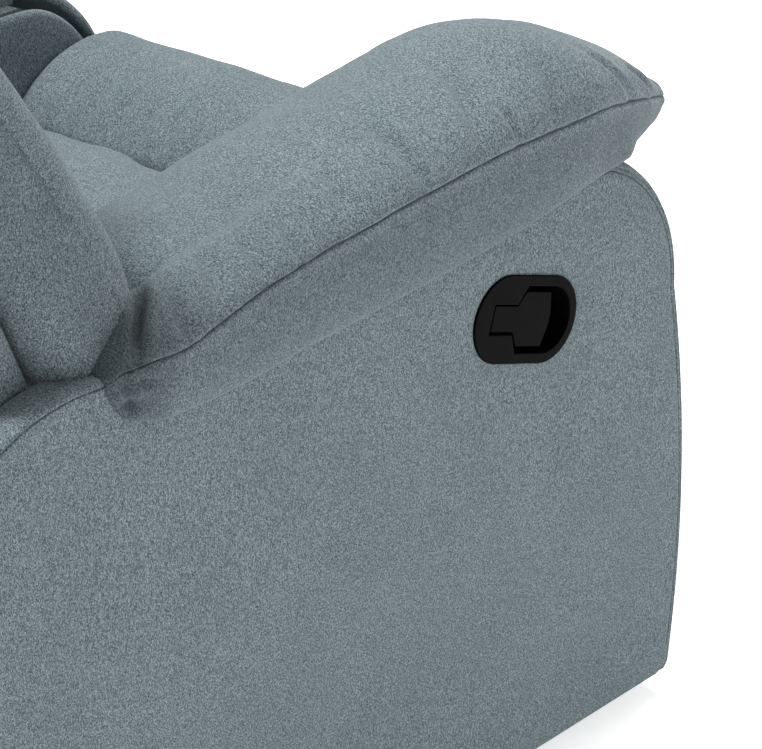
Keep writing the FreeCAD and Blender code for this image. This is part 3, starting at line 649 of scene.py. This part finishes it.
def side_cover(name, with_hole):
    """Cover of an arm's outer side: face, seam near the edge, rounded rim over the board, hem inside."""
    loop = even(arm_outline(), 420)
    out = outward(loop)
    front = (1 - ramp(loop[:, 0], -0.345, -0.305)) * np.where(loop[:, 1] < 0.036, loop[:, 0] < -0.44, 1.0)
    loop = loop - out * (0.0022 * front)[:, None]
    centre = np.array(HANDLE)
    away = loop - centre
    away /= np.linalg.norm(away, axis=1)[:, None]
    size = (0.126, 0.068) if with_hole else (0.024, 0.020)

    def near_hole(extra):
        return stadium_ring(away, size[0] + 2 * extra, size[1] + 2 * extra)
    seam_at = 0.0050
    rim = [(BOARD_IN + 0.0004, 0.0056), (BOARD_IN + 0.0002, 0.0016), (BOARD_IN + 0.0012, 0.0003),
           (0.4230, 0.0), (0.4290, 0.0), (0.4360, 0.0), (0.4430, 0.0), (0.4476, 0.0007), (0.4494, 0.0018),
           (0.4500, 0.0032)]
    insets = [0.0040, 0.0045, seam_at, 0.0055, 0.0061, 0.0072, 0.010, 0.013, 0.018]
    rings, seam = [], []
    steep = np.maximum(np.sum(out * away, axis=1), 0.2)

    def inward(inset):
        """The outline moved in by a distance, straight towards the handle so that corners stay clean."""
        return loop - away * (inset / steep)[:, None]

    def add(flat, x, marks=None):
        rings.append(np.stack([-np.broadcast_to(x, len(flat)), flat[:, 0], flat[:, 1]], 1))
        seam.append(np.zeros(len(flat)) if marks is None else marks)

    def puffed(flat, edge, hole):
        p = np.stack([np.zeros(len(flat)), flat[:, 0], flat[:, 1]], 1)
        return (PANEL_FACE + 0.0020 * (1 - np.exp(-edge / 0.022)) - 0.0012 * np.exp(-hole / 0.014)
                + 0.0010 * swell(p, 0.30, 8) + 0.0003 * swell(p, 0.09, 9) * ramp(edge, 0.0, 0.02))
    add(near_hole(0.0), BOARD_IN + 0.0166)
    add(inward(0.0056), BOARD_IN + 0.0166)
    for x, inset in rim:
        add(inward(inset), x)
    sewn = np.where(loop[:, 1] < 0.034, 0.0, 1.0)
    for inset in insets:
        flat = inward(inset)
        dip = groove(np.full(len(flat), abs(inset - seam_at)), 0.0012, 0.0007) * sewn
        # the third value is painted shade along the seam
        add(flat, puffed(flat, inset, 0.1) + dip, 0.7 * np.exp(-((inset - seam_at) / 0.0006) ** 2) * sewn)
    start, end = inward(insets[-1]), near_hole(0.020)
    for f in np.linspace(0, 1, 30)[1:]:
        flat = start + (end - start) * f
        add(flat, puffed(flat, insets[-1] + np.linalg.norm(flat - start, axis=1),
                         0.020 + np.linalg.norm(flat - end, axis=1)))
    for extra in (0.014, 0.009, 0.005, 0.002, 0.0):
        flat = near_hole(extra)
        add(flat, puffed(flat, 0.1, extra if with_hole else 0.1))
    piece = loft(name, rings, around=with_hole)
    marks = np.concatenate(seam)
    # painted shade along the seam
    paint_shade(piece, np.pad(marks, (0, len(piece.data.vertices) - len(marks))))
    return piece


def arm_sides():
    right = side_cover("side_panel_cover_right", True)
    left = side_cover("side_panel_cover_left_draft", False)
    mirrored = twin(left, "side_panel_cover_left")
    bpy.data.objects.remove(left)
    finish(right, "base", SIDE_CLOTH, ["side_panel_right"])
    finish(mirrored, "base", SIDE_CLOTH, ["side_panel_left"])


def front_bands():
    """Padded band over the front of each arm, sewn to the side cover, from the foot to under the pillow."""
    line = arm_outline()[:70]
    line = np.vstack([line, [(-0.331, ARM_TOP - 0.0002)]])
    line = even(line, 130, closed=False)
    along = np.gradient(line, axis=0)
    out = np.stack([-along[:, 1], along[:, 0]], 1)
    out /= np.linalg.norm(out, axis=1)[:, None]
    lip, thick = 0.0041, 0.0135
    across = [(INNER_FACE + 0.0004, thick), (INNER_FACE, 0.0070), (INNER_FACE + 0.0006, 0.0032),
              (INNER_FACE + 0.0026, 0.0006), (INNER_FACE + 0.0070, -0.0014), (INNER_FACE + 0.020, -0.0044),
              (0.295, -0.0064), (0.325, -0.0074), (0.350, -0.0078), (0.375, -0.0076), (0.405, -0.0066),
              (0.430, -0.0046), (0.4420, -0.0028), (0.4465, -0.0014), (0.4488, 0.0004), (0.4496, 0.0024),
              (0.4490, lip), (0.4330, lip), (BOARD_IN, lip), (BOARD_IN - 0.0008, thick), (0.350, thick)]
    rings = []
    for (y, z), (oy, oz) in zip(line, out):
        x = np.array([a for a, _ in across])
        inset = np.array([b for _, b in across])
        p = np.stack([x, np.full(len(x), y), np.full(len(x), z)], 1)
        soft = (0.0009 * swell(p, 0.16, 21) + 0.0005 * swell(p, 0.05, 22)) * (inset < 0.0)
        rings.append(np.stack([-x, y - oy * (inset - soft), z - oz * (inset - soft)], 1))
    piece = loft("arm_front_band_right", rings)
    finer(piece)
    other = twin(piece, "arm_front_band_left")
    finish(piece, "base", FRONT_CLOTH, ["arm_front_pads"])
    finish(other, "base", FRONT_CLOTH, ())


# ---------------------------------------------------------------- stuffed and padded pieces
def rounded_loft(name, stations, half, power, centre, domes, to_chair, count=72):
    """Loft along a direction with rounded-rectangle sections; domes round both ends off over a distance."""
    rings = []
    turn = np.linspace(0, 2 * pi, count, endpoint=False)
    c, s = np.cos(turn), np.sin(turn)
    shape = np.stack([np.sign(c) * np.abs(c) ** (2 / power), np.sign(s) * np.abs(s) ** (2 / power)], 1)
    first, last = stations[0], stations[-1]
    for at in stations:
        a, b = half(at)
        ends = 1.0
        for gap, dome in ((at - first, domes[0]), (last - at, domes[1])):
            if gap < dome:
                ends *= max(1 - (1 - gap / dome) ** 2, 0.0004) ** 0.5
        inset = min(a, b) * (1 - ends)
        u, v = centre(at)
        rings.append(to_chair(u + shape[:, 0] * (a - inset), v + shape[:, 1] * (b - inset), at))
    return loft(name, rings)


def spread(a, b, n, dome):
    """Stations from a to b, closer together where the ends round off."""
    end = dome * (1 - np.cos(np.linspace(0, pi / 2, 9)))
    middle = np.linspace(a + dome, b - dome, n)
    return np.concatenate([a + end[:-1], middle, (b - end[:-1])[::-1]])


def wing_front(t):
    """Front face of a wing, square to the back frame: it leans back more towards the top."""
    return through([(0.187, -0.106), (0.215, -0.118), (0.24, -0.1245), (0.27, -0.127), (0.33, -0.121),
                    (0.39, -0.111), (0.453, -0.099), (0.55, -0.086), (0.64, -0.078)], t)


def wings():
    rear, inner, outer = -0.0165, 0.266, 0.4265

    def wide(t):
        return through([(0.187, 0.437), (0.26, 0.434), (0.38, outer), (0.64, outer)], t)
    piece = rounded_loft(
        "back_wing_cover_right", spread(0.187, 0.640, 96, 0.030),
        lambda t: ((wide(t) - inner) / 2, (rear - wing_front(t)) / 2), 3.6,
        lambda t: (-(wide(t) + inner) / 2, (rear + wing_front(t)) / 2), (0.030, 0.040), on_back, 120)
    p = places(piece)
    outside = ramp(-p[:, 0], 0.30, 0.40)
    place(piece, p + normals(piece) * ((0.0018 * swell(p, 0.14, 31) + 0.0007 * swell(p, 0.05, 32))
                                       * (0.4 + 0.6 * outside))[:, None])
    finer(piece)
    side = -outer + 0.0015
    path = [(t, wing_front(t) + 0.036) for t in (0.62, 0.56, 0.50, 0.44, 0.38, 0.32, 0.27, 0.24)]
    path += [(0.219, wing_front(0.222) + 0.032), (0.209, -0.064), (0.207, -0.036)]
    p = places(piece)
    gap = np.full(len(p), 1.0)
    for (t0, n0), (t1, n1) in zip(path, path[1:]):
        ends = on_back(side * 0.35, n0, t0), on_back(side * 0.35, n1, t1)
        gap = np.minimum(gap, to_segment(p * (0.35, 1, 1), *ends)[0])
    outer_face = p[:, 0] < -0.385
    place(piece, p + normals(piece) * (groove(gap, 0.0020, 0.0016) * outer_face)[:, None])
    n_at = (p[:, 1] - PIVOT_Y) * cos(LEAN) - (p[:, 2] - PIVOT_Z) * sin(LEAN)
    t_at = (p[:, 1] - PIVOT_Y) * sin(LEAN) + (p[:, 2] - PIVOT_Z) * cos(LEAN)
    flank_shade = ramp(n_at - wing_front(t_at), 0.006, 0.050) * ramp(-p[:, 0], 0.36, 0.41)
    # painted shade: a dark line in the side seam, and the wing's outer flank darker away from its lit front
    # ridge
    sewn = np.exp(-(gap / 0.0012) ** 2) * outer_face * 0.75
    paint_shade(piece, np.maximum(sewn, 0.22 * flank_shade * ramp(t_at, 0.20, 0.27)))
    for n0, t0, n1, t1, depth in ((-0.040, 0.199, -0.066, 0.222, 3.0), (-0.052, 0.198, -0.076, 0.210, 1.8),
                                  (-0.100, 0.30, -0.070, 0.36, 1.6), (-0.108, 0.25, -0.080, 0.285, 1.4)):
        fold(piece, on_back(side, n0, t0), on_back(side, n1, t1), depth * MM, 0.005)
    other = twin(piece, "back_wing_cover_left")
    finish(piece, "back", SIDE_CLOTH, ["back_wing_right"])
    finish(other, "back", SIDE_CLOTH, ["back_wing_left"])
    # each wing gets its own copy of its mesh
    for wing, side in ((piece, -1), (other, 1)):
        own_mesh(wing)


def back_bands():
    """Flat padded band round each side of the back frame, between the wing and the outside back."""
    n_front, n_rear, inner, outer = -0.0150, 0.0335, 0.3960, 0.4150
    piece = rounded_loft(
        "back_side_band_right", spread(0.2165, 0.6895, 60, 0.012),
        lambda t: ((outer - inner) / 2, (n_rear - n_front) / 2), 5.0,
        lambda t: (-(outer + inner) / 2, (n_rear + n_front) / 2), (0.012, 0.010), on_back, 64)
    p = places(piece)
    place(piece, p + normals(piece) * (0.0007 * swell(p, 0.12, 41))[:, None])
    finer(piece)
    other = twin(piece, "back_side_band_left")
    finish(piece, "back", SIDE_CLOTH, ["back_side_bands"])
    finish(other, "back", SIDE_CLOTH, ())


def outside_back():
    """Upholstered outside of the back: wide above the arms, a narrow flap below them."""
    step = 0.216
    stations = np.concatenate([spread(-0.148, step, 30, 0.008)[:-6], [step - 0.0006, step + 0.0006],
                               spread(step, 0.6895, 60, 0.010)[3:]])
    rings = []
    for t in stations:
        wide = t > step
        half = 0.3950 if wide else 0.2215
        end = min(t + 0.148, 0.6895 - t, (t - step) if wide else 1.0)
        thin = 1 - max(0.0, 1 - max(end, 0) / 0.008) ** 2 * 0.8
        x = half * np.sin(np.linspace(-pi / 2, pi / 2, 49))
        edge = half - np.abs(x)
        full = (1 - np.exp(-edge / 0.03)) * (1 - np.exp(-max(end, 0) / 0.05))
        round_edge = np.sqrt(np.clip(1 - np.clip(1 - edge / 0.006, 0, 1) ** 2, 0, 1))
        mid, deep = 0.0252, 0.0082 * thin
        rear = mid + deep * round_edge + 0.0045 * full
        front = mid - deep * round_edge
        rings.append(np.vstack([on_back(x, rear, t), on_back(x[::-1], front[::-1], t)]))
    piece = loft("outside_back_cover", rings)
    p = places(piece)
    place(piece, p + normals(piece) * (0.0010 * swell(p, 0.22, 51))[:, None])
    finish(piece, "back", FRONT_CLOTH, ["outside_back_panel"])


def front_roll():
    """Raised front roll of the seat: smooth on top, gathered where it is sewn down behind."""
    profile = np.vstack([
        [(-0.2992, 0.404)], [(-0.2988, 0.424)],
        arc((-0.2990, 0.430), (-0.3480, 0.4735), (-0.4150, 0.4860), 26),
        arc((-0.4150, 0.4860), (-0.4575, 0.4660), (-0.4640, 0.4250), 18), [(-0.4640, 0.4250)],
        [(-0.4560, 0.4060)], [(-0.4480, 0.4035)]])
    ring = even(profile, 110)
    middle = np.array([-0.385, 0.435])
    rings = []
    wide, dome = 0.2370, 0.011
    for x in spread(-wide, wide, 84, dome):
        end = min(x + wide, wide - x)
        full = 1.0 if end > dome else max(1 - (1 - end / dome) ** 2, 0.0004) ** 0.5
        inward = (ring - middle) / np.linalg.norm(ring - middle, axis=1)[:, None]
        moved = ring - inward * (0.008 * (1 - full))
        if end < 1e-6:
            moved = ring - inward * 0.010
        rings.append(np.stack([np.full(len(ring), x), moved[:, 0], moved[:, 1]], 1))
    piece = loft("seat_front_roll_cover", rings)
    finer(piece)
    p = places(piece)
    uneven = 0.0012 * swell(p, 0.10, 61) + 0.0005 * swell(p, 0.04, 62)
    place(piece, p + normals(piece) * uneven[:, None])
    # (x, length in mm, depth in mm)
    gathers = [(-0.205, 55, 2.2), (-0.176, 38, 1.4), (-0.150, 66, 2.4), (-0.118, 44, 1.6),
               (-0.092, 58, 2.2), (-0.058, 40, 1.5), (-0.028, 62, 2.2), (0.004, 46, 1.6),
               (0.038, 60, 2.2), (0.070, 40, 1.5), (0.104, 58, 2.1), (0.140, 44, 1.7),
               (0.172, 60, 2.0), (0.206, 48, 1.8)]
    for x, run, depth in gathers:
        top = -0.303 - run * MM
        height = 0.430 + 0.056 * sin(pi / 2 * min(run * MM / 0.116, 1.0)) ** 0.9
        fold(piece, (x, -0.3035, 0.436), (x + 0.006, top, height), depth * MM, 0.0055, 0.5)
    finish(piece, "seat", FRONT_CLOTH, ["seat_front_roll"])


def cushion(name, low, high, corner, to_chair, seams, crown, seed):
    """Stuffed cushion: a rounded box blown up as cloth between its held seams, which are then cut in.

    low and high are its corners in its own axes: across, out of its face (negative towards the sitter), up.
    """
    low, high = np.array(low, float), np.array(high, float)
    work = bmesh.new()
    bmesh.ops.create_cube(work, size=1.0)
    margin = np.array([0.004, crown, 0.004])
    for v in work.verts:
        at = np.array(v.co) + 0.5
        v.co = low + margin * (1, 1, 1) + (high - low - 2 * margin * (1, 0.5, 1)) * at
    bmesh.ops.bevel(work, geom=list(work.edges), offset=corner, segments=6, profile=0.5, affect="EDGES")
    mesh = bpy.data.meshes.new(name)
    work.to_mesh(mesh)
    work.free()
    piece = bpy.data.objects.new(name, mesh)
    bpy.context.scene.collection.objects.link(piece)
    remesh = piece.modifiers.new("even", "REMESH")
    remesh.mode, remesh.voxel_size = "VOXEL", 0.0065
    baked(piece)
    start = places(piece)
    gap = seams(start)
    held = piece.vertex_groups.new(name="held")
    for i in np.nonzero((gap < 0.005) | (start[:, 1] > high[1] - 0.012))[0]:
        held.add([int(i)], 1.0, "REPLACE")
    cloth = piece.modifiers.new("stuffing", "CLOTH")
    what = cloth.settings
    what.quality, what.mass = 5, 0.3
    what.tension_stiffness = what.compression_stiffness = 12
    what.bending_stiffness = 0.6
    what.use_pressure, what.uniform_pressure_force = True, 4.0
    what.effector_weights.gravity = 0
    what.vertex_group_mass = "held"
    what.shrink_min = -0.05
    scene = bpy.context.scene
    last = 20
    cloth.point_cache.frame_start, cloth.point_cache.frame_end = 1, last
    for f in range(1, last + 1):
        scene.frame_set(f)
        bpy.context.evaluated_depsgraph_get()
    baked(piece)
    scene.frame_set(1)
    piece.vertex_groups.clear()
    moved = places(piece) - start
    far = np.linalg.norm(moved, axis=1)[:, None]
    cap = crown * 1.3
    moved *= np.where(far > cap, cap / np.maximum(far, 1e-9), 1.0)
    place(piece, start + moved)
    relax = piece.modifiers.new("relax", "SMOOTH")
    relax.factor, relax.iterations = 0.5, 6
    baked(piece)
    finer(piece)
    p = places(piece)
    gap = seams(p)
    place(piece, p + normals(piece) * (groove(gap, 0.0030, 0.0024) + 0.0008 * swell(p, 0.09, seed)
                                       + 0.0005 * swell(p, 0.035, seed + 1))[:, None])
    # painted shade along the seams
    paint_shade(piece, np.exp(-(gap / 0.0020) ** 2) * 0.8)
    p = np.clip(places(piece), low - 0.004, high + 0.004)
    place(piece, to_chair(p[:, 0], p[:, 1], p[:, 2]))
    work = bmesh.new()
    work.from_mesh(piece.data)
    bmesh.ops.recalc_face_normals(work, faces=work.faces)
    work.to_mesh(piece.data)
    work.free()
    return piece


def box_seams(low, high, depth, lines=()):
    """Distance from the seam round a cushion at one depth, and from sewn lines across its face."""
    round_by = 0.004

    def gap(p):
        half_x, half_t = (high[0] - low[0]) / 2, (high[2] - low[2]) / 2
        around = np.abs(p[:, 1] - depth)
        edge = np.minimum(half_x - np.abs(p[:, 0] - (low[0] + high[0]) / 2),
                          half_t - np.abs(p[:, 2] - (low[2] + high[2]) / 2))
        best = np.hypot(around, np.maximum(edge - round_by, 0) * 3)
        for t in lines:
            front = p[:, 1] < depth
            best = np.minimum(best, np.where(front, np.abs(p[:, 2] - t), 1.0))
        return best
    return gap


def back_cushions():
    for name, node, half_x, n_front, t_low, t_high, crown, seed in (
            ("lumbar_cushion_cover", "lumbar_cushion", 0.2315, -0.136, 0.063, 0.2425, 0.020, 71),
            ("middle_cushion_cover", "middle_cushion", 0.2575, -0.132, 0.2455, 0.4425, 0.020, 73),
            ("head_cushion_cover", "head_cushion", 0.2575, -0.140, 0.4455, 0.6900, 0.024, 75)):
        low, high = (-half_x, n_front, t_low), (half_x, -0.0150, t_high)
        piece = cushion(name, low, high, 0.021, on_back,
                        box_seams(low, high, n_front + 0.040), crown, seed)
        finish(piece, "back", FRONT_CLOTH, [node])


def seat():
    low, high = (-0.2335, 0.4020, -0.2975), (0.2335, 0.4420, 0.1250)

    def to_chair(x, z_up, y):
        return np.stack([x, y, 0.844 - z_up], 1)
    # its own "out" axis points down, so the sitter's side is the negative one
    piece = cushion("seat_cushion_cover", low, high, 0.010, to_chair,
                    box_seams(low, high, 0.4160), 0.006, 77)
    finish(piece, "seat", FRONT_CLOTH, ["seat_cushion"])


def legrest():
    low, high = (-0.2295, -0.4615, 0.0625), (0.2295, -0.4005, 0.3845)
    piece = cushion("legrest_pad_cover", low, high, 0.020,
                    lambda x, y, z: np.stack([x, y, z], 1),
                    box_seams(low, high, -0.4240, (0.170, 0.278)), 0.014, 79)
    finish(piece, "legrest", FRONT_CLOTH, ["legrest_pad"])


def inner_arms():
    """Thin padding on the seat side of each arm, rounded at the front like the arm."""
    low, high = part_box("inner_arm_pads")
    outline = even(arm_outline(), 900)
    outline = outline - outward(outline) * 0.0185
    upright = (outline[:, 1] > low[2] + 0.012) & (outline[:, 1] < ARM_TOP - 0.0225)
    front = outline[(outline[:, 0] < -0.30) & upright]
    front = front[np.argsort(front[:, 1])]
    foot = [(high[1], low[2]), (front[0, 0], low[2])]
    top = [(-0.335, high[2]), (high[1], high[2])]
    loop = even(np.vstack([foot, front, top]), 260)
    soft = even(loop, 260)
    for _ in range(4):
        soft = (np.roll(soft, 1, 0) + 2 * soft + np.roll(soft, -1, 0)) / 4
    centre, out = soft.mean(0), outward(soft)
    rings = []
    for across, inset in ((0.0, 0.003), (0.0018, 0.0008), (0.0045, 0.0), (0.0066, 0.0010), (0.0082, 0.0032),
                          (0.0089, 0.0070)):
        flat = soft - out * inset
        rings.append(np.stack([np.full(len(flat), low[0] + across), flat[:, 0], flat[:, 1]], 1))
    for f in np.linspace(0, 1, 16)[1:-1]:
        flat = (soft - out * 0.0070) * (1 - f) + centre * f
        p = np.stack([np.zeros(len(flat)), flat[:, 0], flat[:, 1]], 1)
        puff = 0.0016 * (1 - np.exp(-f / 0.12)) + 0.0008 * swell(p, 0.12, 91) * min(1, f * 5)
        rings.append(np.stack([low[0] + 0.0089 + puff, flat[:, 0], flat[:, 1]], 1))
    pad = loft("inner_arm_pad_right", rings)
    other = twin(pad, "inner_arm_pad_left")
    finish(pad, "base", SIDE_CLOTH, ["inner_arm_pads"])
    finish(other, "base", SIDE_CLOTH, ())


def rear_cover():
    """Thin padded panel with soft edges over the rear apron."""
    (x0, y0, z0), (x1, y1, z1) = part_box("rear_apron")
    soft = (y1 - y0) / 2
    rows = max(20, int((z1 - z0) / 0.012))
    piece = rounded_loft(
        "rear_cover", spread(z0, z1, rows, soft),
        lambda z: ((x1 - x0) / 2, soft), 8.0,
        lambda z: ((x0 + x1) / 2, (y0 + y1) / 2), (soft, soft),
        lambda x, y, z: np.stack([x, y, np.full(len(x), z)], 1), 96)
    p = places(piece)
    place(piece, p + normals(piece) * (0.0006 * swell(p, 0.12, 93))[:, None])
    finer(piece)
    finish(piece, "base", FRONT_CLOTH, ["rear_apron"])


# ---------------------------------------------------------------- stage, light and camera
def paper():
    n = Nodes("studio_floor")
    tone = n.ramp(n.noise(3.0, 2.0), [(0.3, grey(0.90)), (0.7, grey(0.93))])
    n.shader.inputs["Emission Color"].default_value = (1, 1, 1, 1)
    n.shader.inputs["Emission Strength"].default_value = 0.62
    return n.set(colour=tone, rough=0.9, specular=0.0)


def studio():
    bpy.ops.mesh.primitive_plane_add(size=30.0, location=(0, 0, 0))
    floor = bpy.context.object
    floor.name = "floor"
    floor.data.materials.append(paper())
    world = bpy.data.worlds.new("studio")
    world.use_nodes = True
    world.node_tree.nodes["Background"].inputs["Color"].default_value = (1.0, 1.0, 1.0, 1)
    world.node_tree.nodes["Background"].inputs["Strength"].default_value = 0.45
    bpy.context.scene.world = world
    target = Vector((-0.3, -0.1, 0.45))
    lights = [("key", (0.6, 2.3, 4.3), 0.5, 165.0),
              ("side", (-3.0, -2.2, 1.7), 1.8, 5.0),
              ("front", (0.2, -2.2, 3.8), 1.4, 82.0)]
    for name, where, size, power in lights:
        light = bpy.data.lights.new(name, "AREA")
        light.energy, light.size = power, size
        lamp = bpy.data.objects.new(name, light)
        lamp.location = where
        lamp.rotation_euler = (target - Vector(where)).to_track_quat("-Z", "Y").to_euler()
        bpy.context.scene.collection.objects.link(lamp)


def camera():
    """Rear three-quarter view down on the sitter's right arm."""
    yaw, pitch = radians(-48.0), radians(-25.0)
    look = Vector((cos(yaw) * cos(pitch), sin(yaw) * cos(pitch), sin(pitch)))
    lens = bpy.data.cameras.new("camera")
    lens.sensor_width, lens.lens = 36.0, 141.7
    eye = bpy.data.objects.new("camera", lens)
    eye.location = (-1.8389, 1.4773, 1.4192)
    eye.rotation_euler = look.to_track_quat("-Z", "Y").to_euler()
    bpy.context.scene.collection.objects.link(eye)
    bpy.context.scene.camera = eye


camera()
studio()
dress_frame()
arm_pillows()
arm_sides()
front_bands()
wings()
back_bands()
outside_back()
front_roll()
back_cushions()
seat()
legrest()
inner_arms()
rear_cover()
bpy.context.scene.view_settings.view_transform = "Standard"
